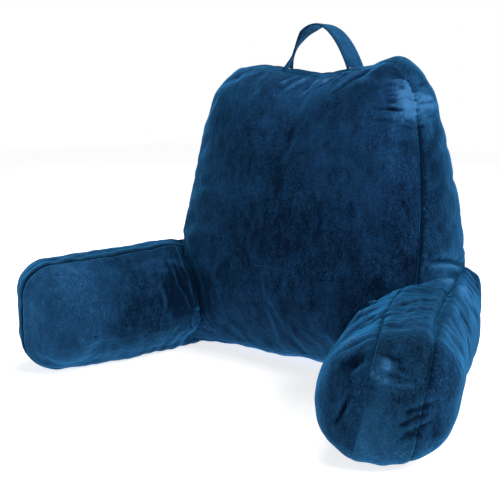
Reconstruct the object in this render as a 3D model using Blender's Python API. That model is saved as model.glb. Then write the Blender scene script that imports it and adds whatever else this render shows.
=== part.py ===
"""Reading pillow: a wedge-shaped back, two padded arms, boxing strips and a strap handle.

Metres, +Z up, the front towards -Y. The origin lies on the floor, under the middle of the pillow.
"""
import math

import bmesh
import bpy
import numpy as np

# Back: its seams are two rounded outlines, leaning back, joined by the boxing
BACK_HEIGHT = 0.457
BACK_SECTIONS = (  # height, half width of the front seam, half width of the rear seam
    (0.000, 0.222, 0.216),
    (0.220, 0.222, 0.198),
    (0.457, 0.177, 0.161),
)
BACK_BASE_DEPTH = 0.272
BACK_TOP_DEPTH = 0.068
REAR_FULLNESS = 0.016          # how far the rear seam stands out of a straight line at mid height
RECLINE = math.radians(10.8)
BACK_TOP_CORNER = 0.048
BACK_BASE_CORNER = 0.030
OUTLINE_HALF = 0.200           # half width of the plain outline, before the sections widen it
FRONT_CROWN = 0.050
REAR_CROWN = 0.026
BASE_BOW = 0.058               # the front of the base curves back between the arms
BASE_BOW_REACH = 0.220
BACK_PUFF = 0.014
BACK_TOP_PUFF = 0.004
BACK_BASE_PUFF = 0.030         # how far the boxing would bulge underneath, where the floor holds it flat
BACK_SEAM_LIFT = 0.014
FRONT_TOP_LIFT = 0.009         # the front panel rolls over the top, so its seam lies higher there
SEAM_LIFT_REACH = 0.050
BACK_SPINE = ((0.0, 0.170), (0.0, 0.270))
BACK_FRONT_Y = -0.0197         # the front seam's plane at the floor
BASE_CLEARING_HEIGHT = 0.050   # below this the arms end squarely beside the base
BASE_CLEARING_FRONT = 0.020
BASE_CLEARING_HALF = 0.232
TOP_EDGE = (  # place across the top from -1 to 1, rise, reach
    (0.10, -0.011, 0.34),
    (-0.62, 0.003, 0.20),
    (0.55, -0.003, 0.12),
    (0.85, 0.008, 0.18),
)

# Arms: a rounded outline in side view, swept along a curved course in plan. Some sizes differ from
# the left side, -1, to the right side, 1.
ARM_COURSE = (  # distance in front of the root, heading away from straight ahead in degrees
    (-0.200, 25.5),
    (0.000, 13.9),
    (0.240, 27.6),
)
ARM_ROOT = (0.2316, 0.005)     # plan position of the root, from the middle of the front seam
ARM_BACK_END = -0.212
ARM_NOSE_END = {-1: 0.245, 1: 0.231}
ARM_ROOT_HEIGHT = 0.175
ARM_NOSE_HEIGHT = 0.155
ARM_EXTRA_HEIGHT = {-1: 0.013, 1: -0.003}      # the left arm is stuffed a little fuller
ARM_SEAM_LIFT = 0.013
ARM_TOP_CORNER = 0.047
ARM_BASE_CORNER = 0.046
ARM_REAR_CORNER = 0.050
ARM_BOXING_WIDTH = 0.066
ARM_INNER_CROWN = {-1: 0.062, 1: 0.055}
ARM_OUTER_CROWN = {-1: 0.0385, 1: 0.0413}
ARM_PUFF = {-1: 0.006, 1: 0.009}               # how far the boxing stands out between its seams
ARM_LEAN = {-1: 0.0, 1: 0.19}                  # how far an arm leans outward, for its height
ARM_BASE_PUFF = 0.014          # the same underneath, where it lies flat on the floor
ARM_SPINE_INSET = 0.070

# Strap handle, a flat loop across the top
HANDLE_X = 0.004
HANDLE_HALF_SPAN = 0.070
HANDLE_FOOT_Z = 0.440
HANDLE_TOP_Z = 0.529
HANDLE_ARCH = 1.7              # 1 gives an ellipse, more gives straighter legs and a narrower top
HANDLE_WIDTH = 0.054
HANDLE_THICKNESS = 0.004
HANDLE_Y = 0.113               # behind the middle of the front seam's base
HANDLE_STEPS = 32
HANDLE_TWISTS = (  # place along the strap from 0 to 1, twist in degrees
    (0.00, 0.0),
    (0.12, -8.0),
    (0.25, -36.0),
    (0.40, -6.0),
    (0.55, 0.0),
    (1.00, 0.0),
)

# Cloth and sewing
BOXING_THICKNESS = 0.003
GAP = 0.0003
CUT_CLEARANCE = 0.0006
PUFF_POWER = 2.2
CROWN_SHAPE = (2.4, 0.6, 0.98)     # two powers of the profile, and how much of it a panel uses
ARM_CROWN_SHAPE = (2.3, 0.5, 0.965)

# Fineness of the solids
RUNG_TILT = 0.3                # starts the triangles of a panel's middle at a corner
BACK_COUNT = 60
ARM_COUNT = 48
PANEL_STEPS = (0.04, 0.30, 0.54, 0.73, 0.87, 0.96, 1.0)
REAR_STEPS = (1.0, 0.95, 0.82, 0.60, 0.32, 0.04)
BOXING_STEPS = (0.0, 0.10, 0.26, 0.50, 0.74, 0.90, 1.0)

# Colours of the plush, darker where the pile is stroked down
PLUSH_ROUGHNESS = 0.85
PLUSH_COLOURS = {
    "plush_back": (0.010, 0.060, 0.170),
    "plush_back_boxing": (0.014, 0.080, 0.210),
    "plush_arm": (0.012, 0.075, 0.200),
    "plush_arm_boxing": (0.014, 0.090, 0.225),
    "plush_handle": (0.012, 0.070, 0.190),
}


def clear_scene():
    for item in list(bpy.data.objects):
        bpy.data.objects.remove(item, do_unlink=True)


def plush(name):
    material = bpy.data.materials.new(name)
    material.use_nodes = True
    shader = material.node_tree.nodes["Principled BSDF"]
    shader.inputs["Base Color"].default_value = (*PLUSH_COLOURS[name], 1.0)
    shader.inputs["Roughness"].default_value = PLUSH_ROUGHNESS
    shader.inputs["Metallic"].default_value = 0.0
    return material


# Curves and profiles

def arc(centre, radius, start_deg, end_deg, count=24):
    angles = np.radians(np.linspace(start_deg, end_deg, count))
    return np.column_stack([centre[0] + radius * np.cos(angles), centre[1] + radius * np.sin(angles)])


def evenly_spaced(loop, count):
    """The closed loop again, as count points at equal steps along it."""
    closed = np.vstack([loop, loop[:1]])
    steps = np.linalg.norm(np.diff(closed, axis=0), axis=1)
    along = np.concatenate([[0.0], np.cumsum(steps)])
    places = np.linspace(0.0, along[-1], count, endpoint=False)
    return np.column_stack([np.interp(places, along, closed[:, axis]) for axis in (0, 1)])


def nearest_on_spine(loop, spine):
    start, end = np.array(spine[0]), np.array(spine[1])
    run = end - start
    share = np.clip((loop - start) @ run / (run @ run), 0.0, 1.0)
    return start + share[:, None] * run


def outward(loop, spine):
    away = loop - nearest_on_spine(loop, spine)
    return away / np.linalg.norm(away, axis=1)[:, None]


def crown(step, shape):
    """How far a panel stands out at a step from its middle to its seam, from 1 to 0."""
    power, root, used = shape
    edge = (1.0 - used ** power) ** root
    return ((1.0 - (used * step) ** power) ** root - edge) / (1.0 - edge)


def puff(share):
    """How far the boxing stands out between its two seams, from 0 to 1."""
    return 1.0 - abs(2.0 * share - 1.0) ** PUFF_POWER


def bulges(away, beside, below, above):
    """The boxing's greatest bulge at each point of an outline, from the way that point faces."""
    underneath = np.clip(-away[:, 1:], 0.0, 1.0) ** 3
    on_top = np.clip(away[:, 1:], 0.0, 1.0) ** 3
    return beside + (below - beside) * underneath + (above - beside) * on_top


def through(heights, values, height):
    return np.polyval(np.polyfit(heights, values, 2), height)


# Meshes

def add_object(name, points, faces, material):
    mesh = bpy.data.meshes.new(name)
    mesh.from_pydata([tuple(point) for point in points], [], faces)
    shape = bmesh.new()
    shape.from_mesh(mesh)
    bmesh.ops.recalc_face_normals(shape, faces=shape.faces)
    shape.to_mesh(mesh)
    shape.free()
    mesh.shade_smooth()
    mesh.set_sharp_from_angle(angle=math.radians(50))
    item = bpy.data.objects.new(name, mesh)
    bpy.context.scene.collection.objects.link(item)
    if material:
        mesh.materials.append(material)
    return item


def rungs(ring, base):
    """Triangles that close a slim ring, one after another from its one end to its other end."""
    count = len(ring)
    out = ring - ring.mean(axis=0)
    lengthways = out[np.linalg.norm(out, axis=1).argmax()]
    lengthways = lengthways / np.linalg.norm(lengthways)
    sideways = out - (out @ lengthways)[:, None] * lengthways
    sideways = sideways[np.linalg.norm(sideways, axis=1).argmax()]
    along = out @ (lengthways + RUNG_TILT * sideways / np.linalg.norm(sideways))
    start, end = int(along.argmin()), int(along.argmax())
    forward, backward = start, start
    faces = []
    while (forward + 1) % count != backward % count:
        ahead = (forward + 1) % count
        behind = (backward - 1) % count
        if backward != end and (forward == end or along[behind] < along[ahead]):
            faces.append((base + forward, base + behind, base + backward))
            backward = behind
        else:
            faces.append((base + forward, base + ahead, base + backward))
            forward = ahead
    return [face for face in faces if len(set(face)) == 3]


def lofted(name, rings, material, closed=False, turned_from=None):
    """A solid through rings of points: capped at both ends, or closed on itself like a tube.

    The facets' diagonals all lean one way, and the other way from the row turned_from on, so that
    two surfaces that lie on each other have matching facets.
    """
    count = len(rings[0])
    points = np.vstack(rings)
    last = len(rings) if closed else len(rings) - 1
    faces = []
    for row in range(last):
        here = row * count
        there = (row + 1) % len(rings) * count
        turned = turned_from is not None and row >= turned_from
        for column in range(count):
            beside = (column + 1) % count
            near, near_side = here + column, here + beside
            far, far_side = there + column, there + beside
            if turned:
                faces.extend([(near, near_side, far), (near_side, far_side, far)])
            else:
                faces.extend([(near, near_side, far_side), (near, far_side, far)])
    if not closed:
        faces.extend(rungs(rings[0], 0))
        faces.extend(rungs(rings[-1], (len(rings) - 1) * count))
    return add_object(name, points, faces, material)


def surface_normals(grid, centre):
    """Unit normals of a grid of points whose columns close on themselves, pointing away from centre."""
    along = np.roll(grid, -1, axis=1) - np.roll(grid, 1, axis=1)
    across = np.gradient(grid, axis=0)
    normals = np.cross(along, across)
    normals /= np.linalg.norm(normals, axis=2)[..., None]
    if ((grid - centre) * normals).sum() < 0:
        normals = -normals
    return normals


class Pad:
    """A filled pad: two crowned panels on two seams, joined by a boxing strip that lies in a rebate."""

    def __init__(self, front_panel, boxing_outside, rear_panel):
        self.front_panel = front_panel
        self.rear_panel = rear_panel
        self.boxing_outside = boxing_outside
        self.centre = np.vstack(front_panel + rear_panel).mean(axis=0)

    def boxing(self, steps, inset):
        grid = np.array([self.boxing_outside(step) for step in steps])
        normals = surface_normals(grid, self.centre)
        return list(grid - normals * inset)

    def seam_gap(self):
        width = np.linalg.norm(self.boxing_outside(1.0) - self.boxing_outside(0.0), axis=1)
        return (GAP / width)[:, None]

    def cushion(self, name, material):
        floor = self.boxing(BOXING_STEPS, BOXING_THICKNESS + GAP)
        return lofted(name, self.front_panel + floor + self.rear_panel, material)

    def strip(self, name, material):
        edge = self.seam_gap()
        steps = [step + (1.0 - 2.0 * step) * edge for step in BOXING_STEPS]
        outside = self.boxing(steps, 0.0)
        inside = self.boxing(steps, BOXING_THICKNESS)
        return lofted(name, outside + inside[::-1], material, closed=True, turned_from=len(outside))

    def envelope(self, name, growth):
        """The outside of cushion and boxing together, grown a little, to cut other pieces with."""
        rings = self.front_panel + self.boxing(BOXING_STEPS[1:-1], 0.0) + self.rear_panel
        item = lofted(name, rings, None)
        normals = [vertex.normal.copy() for vertex in item.data.vertices]
        for vertex, normal in zip(item.data.vertices, normals):
            vertex.co += normal * growth
        item.hide_render = True
        item.display_type = "WIRE"
        return item


# The back

def back_outline(column):
    """The front or rear seam seen from the front, with widths from that column of the sections."""
    half, height = OUTLINE_HALF, BACK_HEIGHT
    low, high = BACK_BASE_CORNER, BACK_TOP_CORNER
    loop = np.vstack([
        [(0.0, 0.0)],
        arc((half - low, low), low, -90, 0),
        arc((half - high, height - high), high, 0, 90),
        arc((high - half, height - high), high, 90, 180),
        arc((low - half, low), low, 180, 270),
    ])
    loop = evenly_spaced(loop, BACK_COUNT)
    sections = np.array(BACK_SECTIONS)
    across = loop[:, 0] / half
    height_share = np.clip(loop[:, 1] / height, 0.0, 1.0)
    width = through(sections[:, 0], sections[:, column], loop[:, 1])
    rise = sum(size * np.exp(-((across - place) / reach) ** 2) for place, size, reach in TOP_EDGE)
    if column == 1:
        rise = rise + FRONT_TOP_LIFT
    lift = BACK_SEAM_LIFT * np.clip(1.0 - loop[:, 1] / SEAM_LIFT_REACH, 0.0, 1.0)
    return np.column_stack([across * width, loop[:, 1] + rise * height_share ** 8 + lift])


def back_depth(height):
    share = np.clip(height / BACK_HEIGHT, 0.0, 1.0)
    straight = BACK_BASE_DEPTH + (BACK_TOP_DEPTH - BACK_BASE_DEPTH) * share
    return straight + REAR_FULLNESS * np.sin(math.pi * share)


def back_front_y(loop):
    bow = np.clip(1.0 - (loop[:, 0] / BACK_SECTIONS[0][1]) ** 2, -0.3, 1.0)
    fade = np.clip(1.0 - loop[:, 1] / BASE_BOW_REACH, 0.0, 1.0) ** 2
    return BACK_FRONT_Y + loop[:, 1] * math.tan(RECLINE) + BASE_BOW * bow * fade


def back_rear_y(loop):
    return BACK_FRONT_Y + loop[:, 1] * math.tan(RECLINE) + back_depth(loop[:, 1])


def back_pad():
    front = back_outline(1)
    rear = back_outline(2)
    front_spine = nearest_on_spine(front, BACK_SPINE)
    rear_spine = nearest_on_spine(rear, BACK_SPINE)
    away = outward(front, BACK_SPINE)

    def panel(loop, spine, plane_y, height, steps):
        rings = []
        for step in steps:
            ring = spine + step * (loop - spine)
            depth = plane_y(ring) + height * crown(step, CROWN_SHAPE)
            rings.append(np.column_stack([ring[:, 0], depth, ring[:, 1]]))
        return rings

    bulge = bulges(away, BACK_PUFF, BACK_BASE_PUFF, BACK_TOP_PUFF)

    def boxing_outside(share):
        loop = front * (1.0 - share) + rear * share + away * bulge * puff(share)
        depth = back_front_y(front)[:, None] * (1.0 - share) + back_rear_y(rear)[:, None] * share
        depth = np.broadcast_to(depth, (BACK_COUNT, 1))
        return np.column_stack([loop[:, 0], depth, np.maximum(loop[:, 1], 0.0)])

    return Pad(
        panel(front, front_spine, back_front_y, -FRONT_CROWN, PANEL_STEPS),
        boxing_outside,
        panel(rear, rear_spine, back_rear_y, REAR_CROWN, REAR_STEPS),
    )


# The arms

def arm_outline(side):
    """The arm's seam in side view: distance in front of the root, and height."""
    nose_end = ARM_NOSE_END[side]
    nose_height = ARM_NOSE_HEIGHT + ARM_EXTRA_HEIGHT[side]
    root_height = ARM_ROOT_HEIGHT + ARM_EXTRA_HEIGHT[side]
    return evenly_spaced(np.vstack([
        arc((nose_end - ARM_BASE_CORNER, ARM_SEAM_LIFT + ARM_BASE_CORNER), ARM_BASE_CORNER, -90, 0),
        arc((nose_end - ARM_TOP_CORNER, nose_height - ARM_TOP_CORNER), ARM_TOP_CORNER, 0, 90),
        arc((ARM_BACK_END + ARM_REAR_CORNER, root_height - ARM_REAR_CORNER), ARM_REAR_CORNER, 90, 180),
        arc((ARM_BACK_END + ARM_BASE_CORNER, ARM_SEAM_LIFT + ARM_BASE_CORNER), ARM_BASE_CORNER, 180, 270),
    ]), ARM_COUNT)


def arm_course(along):
    """Plan position and heading of the arm's middle at a distance in front of the root."""
    course = np.array(ARM_COURSE)
    places = np.linspace(-0.30, 0.40, 141)
    headings = np.radians(np.interp(places, course[:, 0], course[:, 1]))
    step = places[1] - places[0]
    x = np.concatenate([[0.0], np.cumsum((np.sin(headings)[1:] + np.sin(headings)[:-1]) / 2 * step)])
    y = np.concatenate([[0.0], np.cumsum((np.cos(headings)[1:] + np.cos(headings)[:-1]) / 2 * step)])
    x = ARM_ROOT[0] + x - np.interp(0.0, places, x)
    y = BACK_FRONT_Y + ARM_ROOT[1] - y + np.interp(0.0, places, y)
    return np.interp(along, places, x), np.interp(along, places, y), np.interp(along, places, headings)


def arm_place(loop, sideways, side):
    x, y, heading = arm_course(loop[:, 0])
    sideways = sideways + ARM_LEAN[side] * (loop[:, 1] - ARM_NOSE_HEIGHT / 2)
    x = x + np.cos(heading) * sideways
    y = y + np.sin(heading) * sideways
    return np.column_stack([side * x, y, np.maximum(loop[:, 1], 0.0)])


def arm_pad(side):
    loop = arm_outline(side)
    spine_ends = (
        (ARM_BACK_END + ARM_SPINE_INSET, ARM_ROOT_HEIGHT / 2),
        (ARM_NOSE_END[side] - ARM_SPINE_INSET, ARM_NOSE_HEIGHT / 2),
    )
    spine = nearest_on_spine(loop, spine_ends)
    away = outward(loop, spine_ends)
    half = ARM_BOXING_WIDTH / 2
    bulge = bulges(away, ARM_PUFF[side], ARM_BASE_PUFF, ARM_PUFF[side])

    def panel(base, height, steps):
        rings = []
        for step in steps:
            sideways = base + height * crown(step, ARM_CROWN_SHAPE)
            rings.append(arm_place(spine + step * (loop - spine), sideways, side))
        return rings

    def boxing_outside(share):
        edge = loop + away * bulge * puff(share)
        sideways = np.broadcast_to(half * (1.0 - 2.0 * share), (ARM_COUNT, 1))[:, 0]
        return arm_place(edge, sideways, side)

    return Pad(
        panel(half, ARM_OUTER_CROWN[side], PANEL_STEPS),
        boxing_outside,
        panel(-half, -ARM_INNER_CROWN[side], REAR_STEPS),
    )


# The handle

def strap_handle(material):
    """A flat strap bent into an arch, its width along Y, with a lazy twist in the left leg."""
    twists = np.array(HANDLE_TWISTS)
    rings = []
    angles = np.pi * (1.0 - np.linspace(0.0, 1.0, HANDLE_STEPS + 1))
    course = np.column_stack([
        HANDLE_X + HANDLE_HALF_SPAN * np.cos(angles),
        np.full(HANDLE_STEPS + 1, BACK_FRONT_Y + HANDLE_Y),
        HANDLE_FOOT_Z + (HANDLE_TOP_Z - HANDLE_FOOT_Z) * np.sin(angles) ** HANDLE_ARCH,
    ])
    tangents = np.gradient(course, axis=0)
    for index, (centre, tangent) in enumerate(zip(course, tangents)):
        share = index / HANDLE_STEPS
        tangent = tangent / np.linalg.norm(tangent)
        upward = np.cross(tangent, (0.0, -1.0, 0.0))
        twist = math.radians(np.interp(share, twists[:, 0], twists[:, 1]))
        wide = math.cos(twist) * np.array([0.0, 1.0, 0.0]) + math.sin(twist) * upward
        thick = np.cross(tangent, wide)
        rings.append([
            centre + wide * HANDLE_WIDTH / 2 * across + thick * HANDLE_THICKNESS / 2 * through_strap
            for across, through_strap in ((-1, -1), (0, -1), (1, -1), (1, 1), (0, 1), (-1, 1))
        ])
    return lofted("handle", [np.array(ring) for ring in rings], material)


def base_clearing():
    """A cutter for the low space beside the base, where the arms would thin out to nothing."""
    shape = bmesh.new()
    bmesh.ops.create_cube(shape, size=1.0)
    depth = BACK_BASE_DEPTH - BASE_CLEARING_FRONT
    bmesh.ops.scale(shape, vec=(2 * BASE_CLEARING_HALF, depth, 2 * BASE_CLEARING_HEIGHT), verts=shape.verts)
    middle = BACK_FRONT_Y + BASE_CLEARING_FRONT + depth / 2
    bmesh.ops.translate(shape, vec=(0.0, middle, 0.0), verts=shape.verts)
    mesh = bpy.data.meshes.new("base_clearing")
    shape.to_mesh(mesh)
    shape.free()
    item = bpy.data.objects.new("base_clearing", mesh)
    bpy.context.scene.collection.objects.link(item)
    item.hide_render = True
    item.display_type = "WIRE"
    return item


def cut_by(item, *cutters):
    for cutter in cutters:
        cut = item.modifiers.new(cutter.name, "BOOLEAN")
        cut.operation = "DIFFERENCE"
        cut.solver = "EXACT"
        cut.object = cutter


def build():
    clear_scene()
    materials = {name: plush(name) for name in PLUSH_COLOURS}

    back = back_pad()
    back.cushion("back_cushion", materials["plush_back"])
    back.strip("back_boxing", materials["plush_back_boxing"])
    back_space = back.envelope("back_space", CUT_CLEARANCE)
    clearing = base_clearing()

    for side, word in ((-1, "left"), (1, "right")):
        arm = arm_pad(side)
        cut_by(arm.cushion(f"arm_{word}_cushion", materials["plush_arm"]), back_space, clearing)
        cut_by(arm.strip(f"arm_{word}_boxing", materials["plush_arm_boxing"]), back_space, clearing)

    cut_by(strap_handle(materials["plush_handle"]), back_space)


build()
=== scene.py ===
"""Looks of the reading pillow: plush panels, boxing strips, seams, folds and the strap handle."""
import math
from functools import partial

import bpy
import numpy as np
from mathutils import Matrix, Vector, noise
from mathutils.bvhtree import BVHTree
from mathutils.kdtree import KDTree


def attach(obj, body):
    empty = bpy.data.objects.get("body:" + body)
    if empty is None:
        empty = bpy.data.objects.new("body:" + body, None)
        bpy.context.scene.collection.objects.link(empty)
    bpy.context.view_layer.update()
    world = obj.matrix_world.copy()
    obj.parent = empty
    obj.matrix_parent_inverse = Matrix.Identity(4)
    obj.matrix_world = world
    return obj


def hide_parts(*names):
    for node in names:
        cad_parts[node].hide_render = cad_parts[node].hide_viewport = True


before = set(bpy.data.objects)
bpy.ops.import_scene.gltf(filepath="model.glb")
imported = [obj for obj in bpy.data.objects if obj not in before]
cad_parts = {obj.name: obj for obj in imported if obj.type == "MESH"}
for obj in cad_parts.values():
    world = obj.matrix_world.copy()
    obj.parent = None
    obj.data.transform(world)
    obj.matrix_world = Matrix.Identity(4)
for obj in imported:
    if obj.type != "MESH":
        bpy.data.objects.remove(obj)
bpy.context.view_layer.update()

# Back, as in the solids: two rounded outlines, leaning back, joined by the boxing
BACK_HEIGHT = 0.457
BACK_SECTIONS = np.array((  # height, half width of the front seam, half width of the rear seam
    (0.000, 0.222, 0.216),
    (0.220, 0.222, 0.198),
    (0.457, 0.177, 0.161),
))
BACK_BASE_DEPTH = 0.272
BACK_TOP_DEPTH = 0.068
REAR_FULLNESS = 0.016
RECLINE = math.radians(10.8)
BACK_TOP_CORNER = 0.048
BACK_BASE_CORNER = 0.030
OUTLINE_HALF = 0.200
FRONT_CROWN = 0.050
REAR_CROWN = 0.026
BASE_BOW = 0.058
BASE_BOW_REACH = 0.220
BACK_PUFF = 0.014
BACK_TOP_PUFF = 0.004
BACK_BASE_PUFF = 0.030
BACK_SEAM_LIFT = 0.014
FRONT_TOP_LIFT = 0.009
SEAM_LIFT_REACH = 0.050
BACK_SPINE = ((0.0, 0.170), (0.0, 0.270))
BACK_FRONT_Y = -0.0197
TOP_EDGE = (  # place across the top from -1 to 1, rise, reach
    (0.10, -0.011, 0.34),
    (-0.62, 0.003, 0.20),
    (0.55, -0.003, 0.12),
    (0.85, 0.008, 0.18),
)

# Arms, as in the solids. Some sizes differ from the left side, -1, to the right side, 1
ARM_COURSE = np.array((  # distance in front of the root, heading away from straight ahead
    (-0.200, 25.5),
    (0.000, 13.9),
    (0.240, 27.6),
))
ARM_ROOT = (0.2316, 0.005)
ARM_BACK_END = -0.212
ARM_NOSE_END = {-1: 0.245, 1: 0.231}
ARM_ROOT_HEIGHT = 0.175
ARM_NOSE_HEIGHT = 0.155
ARM_EXTRA_HEIGHT = {-1: 0.013, 1: -0.003}
ARM_SEAM_LIFT = 0.013
ARM_TOP_CORNER = 0.047
ARM_BASE_CORNER = 0.046
ARM_REAR_CORNER = 0.050
ARM_BOXING_WIDTH = 0.066
ARM_INNER_CROWN = {-1: 0.062, 1: 0.055}
ARM_OUTER_CROWN = {-1: 0.0385, 1: 0.0413}
ARM_PUFF = {-1: 0.006, 1: 0.009}
ARM_LEAN = {-1: 0.0, 1: 0.19}
ARM_BASE_PUFF = 0.014
ARM_SPINE_INSET = 0.070

# Strap handle, as in the solids but 3 mm further right
HANDLE_X = 0.007
HANDLE_HALF_SPAN = 0.070
HANDLE_FOOT_Z = 0.440
HANDLE_TOP_Z = 0.529
HANDLE_ARCH = 1.7
HANDLE_WIDTH = 0.054
HANDLE_THICKNESS = 0.004
HANDLE_Y = 0.113
STRAP_STEPS = 96               # steps along the strap
STRAP_POINTS = 21              # points across it
STRAP_EDGE_POWER = 8           # how square its edges are
STITCH_DEPTH = 0.0009
STITCH_PLACE = 0.86            # share of the half width
STITCH_WIDTH = 0.06
HANDLE_TWISTS = np.array((  # place along the strap from 0 to 1, twist in degrees
    (0.00, 0.0),
    (0.12, -8.0),
    (0.25, -36.0),
    (0.40, -6.0),
    (0.55, 0.0),
    (1.00, 0.0),
))

# Cloth and sewing
MM = 0.001
STRIP_THICKNESS = 0.003
GAP = 0.0003
PUFF_POWER = 2.2
CROWN_SHAPE = (2.4, 0.6, 0.98)
ARM_CROWN_SHAPE = (2.3, 0.5, 0.965)
SEAM_GROOVES = {  # depth and width of the groove along a seam
    "back": (0.0026, 0.0034),
    "left": (0.0012, 0.0019),
    "right": (0.0020, 0.0030),
}
SEAM_FILL = {  # height along the front or outer seam, and along the rear or inner one
    "back": (0.0, 0.0),
    "left": (0.003, 0.006),
    "right": (0.002, 0.004),
}
SEAM_FILL_REACH = 0.016
SEAM_SHADE = 0.7               # painted shade along each seam's groove
SEAM_ROLL = 0.0008             # the panel's edge rolls up a little beside the groove
SEAM_ROLL_AWAY = 0.010
SEAM_ROLL_WIDTH = 0.006

FOLD_PITCH = 0.002             # spacing of the points along a fold
FOLD_EASING = 6                # rounds of smoothing along it
FOLD_UNDERCUT = 1.2            # how marked the softer troughs beside a fold are
CRUMPLE_STRETCH = (0.5, 0.5, 1.6)     # crumples lie flat and run sideways
CRUMPLE_SHARPNESS = 2.6
PUCKER_START = 0.004           # puckers are flat at the seam itself and start this far from it
FULL_HIGHLIGHT_FOLD_HEIGHT = 0.004            # a fold this high gets the full painted highlight on its crest
ARM_PINCH = 0.009              # how far an arm is drawn in where it is sewn to the back
ARM_PINCH_REACH = 0.015
BACK_PINCH = 0.003
BACK_PINCH_REACH = 0.009
PINCH_FLOOR = 0.025            # the pinch fades out below this height
ARM_CLEARANCE = 0.0008         # gap between an arm or the handle and the back

ROUND_MIDDLE = 0.40            # up to this step a panel's rings get rounder towards its middle

ROUNDING = {  # reach and rounds across the seams, before and after the filling
    "back": ((0.024, 80), (0.016, 50)),
    "arm": ((0.030, 160), (0.020, 60)),
}
LUMPS = {"back": (0.110, 0.0035), "arm": (0.070, 0.0030)}                    # size, height
PUCKERS = {"back": (0.020, 0.0022, 0.022), "arm": (0.017, 0.0024, 0.020)}    # pitch, height, reach

# Filling
FILLING_STEPS = 20
FILLING = {  # mesh size, pressure, least and most spare cloth, furthest broad push, deepest crease
    "back": (0.007, 3.0, (0.03, 0.10), 0.005, 0.009),
    "arm": (0.006, 3.0, (0.03, 0.10), 0.004, 0.009),
}
BACK_LOOSE = (((0.0, 0.06, 0.45), 0.10), ((0.17, 0.06, 0.44), 0.07))         # place and reach
ARM_LOOSE_REACH = 0.16         # an arm's loose place is its root
HELD_FLOOR = 0.0015            # cloth below this height stays on the floor
CLOTH = {
    "quality": 4,
    "mass": 0.3,
    "tension_stiffness": 12.0,
    "compression_stiffness": 12.0,
    "shear_stiffness": 4.0,
    "bending_stiffness": 0.25,
    "use_pressure": True,
}

# Fineness of the dressed surfaces: columns, then steps from the outer or front panel inward
BACK_COLUMNS = 560
BACK_STEPS = (60, 42, 40)
BACK_MIDDLE = 0.03             # the first ring round a panel's middle, as a share of its outline
ARM_COLUMNS = 440
ARM_STEPS = (44, 24, 48)
ARM_MIDDLE = 0.06

# Folds, full and hollow places and faded seams, placed one by one
FOLDS = {  # points along the fold, width, height, which is negative for a trough, all in millimetres
    "back": (
        (((-13, 61, 454), (-36, 42, 437)), 4.5, 3.6),
        (((10, 60, 453), (-15, 39, 431)), 4.5, 4.4),
        (((42, 60, 452), (10, 34, 421)), 4.5, 4.4),
        (((63, 64, 457), (26, 40, 430)), 4.5, 3.8),
        (((78, 62, 457), (59, 46, 440)), 4.5, 3),
        (((115, 60, 461), (68, 35, 425)), 5, 4.6),
        (((162, 36, 404), (185, 53, 411), (192, 60, 406)), 5, 4.5),
        (((166, 45, 421), (179, 54, 425), (189, 60, 418)), 5, 4),
        (((146, 44, 436), (168, 57, 441), (182, 60, 430)), 6, 4),
        (((176, 38, 388), (190, 52, 399), (195, 58, 396)), 4.5, 3),
        (((195, 68, 404), (189, 120, 403)), 5.5, 4),
        (((191, 71, 418), (191, 101, 414)), 5, 4),
        (((228, 37, 184), (230, 66, 182), (228, 122, 170)), 6.5, 5),
        (((227, 38, 194), (229, 82, 188), (222, 157, 168)), 5.5, -5),
        (((-136, -27, 70), (-128, -14, 45)), 4.5, 3),
    ),
    "left": (
        (((-210, -18, 177), (-169, -39, 153), (-147, -43, 118)), 4.5, 4),
        (((-173, -55, 154), (-151, -59, 122), (-143, -47, 84)), 6.5, -5),
        (((-144, -52, 74), (-151, -30, 39)), 4.5, 4),
        (((-187, -62, 161), (-169, -70, 144), (-157, -81, 120), (-154, -95, 88)), 4, -2.5),
        (((-167, -95, 130), (-158, -96, 107), (-156, -99, 88)), 4.5, 2.5),
        (((-255, -225, 154), (-252, -224, 150)), 4, -3),
        (((-196, -205, 69), (-196, -203, 65)), 4, -3),
    ),
    "right": (
        (((236, 28, 172), (244, 56, 167), (250, 70, 162)), 4.5, 3),
        (((253, 7, 167), (257, 31, 163), (265, 47, 156)), 4.5, 3),
        (((239, -129, 160), (247, -106, 165), (257, -87, 167), (269, -64, 164)), 5, 4),
        (((230, -161, 150), (247, -148, 159), (266, -135, 164), (284, -96, 160)), 4.5, 3),
        (((265, -181, 159), (284, -177, 162), (294, -147, 161), (300, -127, 156)), 4.5, 3),
        (((231, -219, 133), (245, -214, 144), (260, -205, 151), (271, -202, 156)), 5, 4),
        (((245, -238, 130), (253, -227, 140), (266, -220, 148), (279, -216, 154)), 4.5, 3),
        (((159, -26, 138), (195, -58, 156)), 4.5, 4),
        (((187, -119, 134), (195, -103, 147), (211, -94, 156)), 4.5, 4),
        (((212, -172, 136), (213, -146, 146), (227, -131, 155)), 4.5, 3),
        (((255, -242, 127), (266, -240, 133), (276, -238, 137)), 12, -5),
        (((295, -240, 135), (311, -238, 133)), 10, 4),
        (((285, -247, 123), (306, -245, 117), (326, -236, 113), (339, -223, 114)), 4.5, 3),
        (((295, -248, 116), (313, -245, 108), (331, -235, 105)), 4.5, 2),
        (((334, -232, 81), (351, -210, 91)), 4, -3),
        (((328, -237, 66), (349, -213, 81)), 4, -3),
        (((333, -233, 56), (352, -210, 70)), 4, -3),
        (((326, -236, 49), (346, -217, 60)), 4, -3),
        (((265, -253, 90), (259, -252, 74), (252, -252, 58)), 3.5, -5),
    ),
}
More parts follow.
